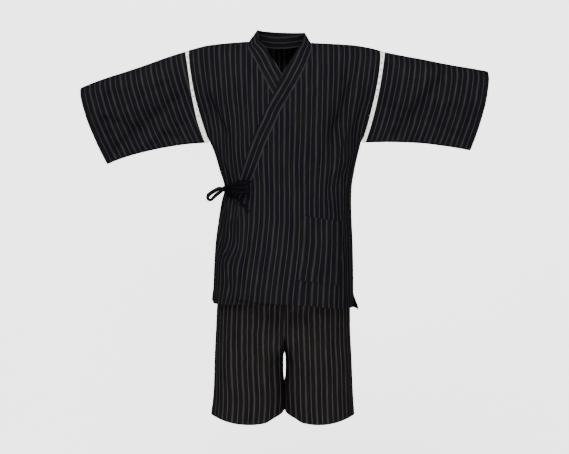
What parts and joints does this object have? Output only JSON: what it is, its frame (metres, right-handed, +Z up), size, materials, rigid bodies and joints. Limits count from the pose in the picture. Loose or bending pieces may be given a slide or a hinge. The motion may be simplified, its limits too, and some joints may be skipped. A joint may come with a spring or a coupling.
{
  "type": "kimono pyjama set (jinbei: wrap jacket and shorts), worn shape",
  "caption": "Dark pinstriped jinbei pyjama set: a wrap jacket tied at the side, half sleeves joined by pale openwork lace, a patch pocket, and knee-length shorts.",
  "frame": {"origin": "middle of the neck opening at shoulder level, where the wearer holds the jacket up", "axes": "+Z up, the front faces -Y, +X is the wearer's left along the stretched-out sleeves"},
  "size_m": [1.1204, 0.2533, 1.0886],
  "materials": {
    "jacket_cloth": "matt crinkled cotton weave, near black with grey pinstripes",
    "shorts_cloth": "matt crinkled cotton weave, near black with grey pinstripes",
    "lace_white": "off-white cotton lace",
    "tie_cloth": "plain black tape"
  },
  "bodies": {
    "root": {"jacket_back": "jacket_cloth", "jacket_front_left": "jacket_cloth", "jacket_front_right": "jacket_cloth", "collar": "jacket_cloth", "sleeve_left": "jacket_cloth", "sleeve_right": "jacket_cloth", "lace_left_front": "lace_white", "lace_left_back": "lace_white", "lace_right_front": "lace_white", "lace_right_back": "lace_white", "pocket": "jacket_cloth", "shorts_left": "shorts_cloth", "shorts_right": "shorts_cloth", "waistband": "shorts_cloth", "tie_knot": "tie_cloth", "tie_strap": "tie_cloth", "tie_loop_side": "tie_cloth", "tie_loop_front": "tie_cloth", "tie_end": "tie_cloth"}
  },
  "joints": []
}
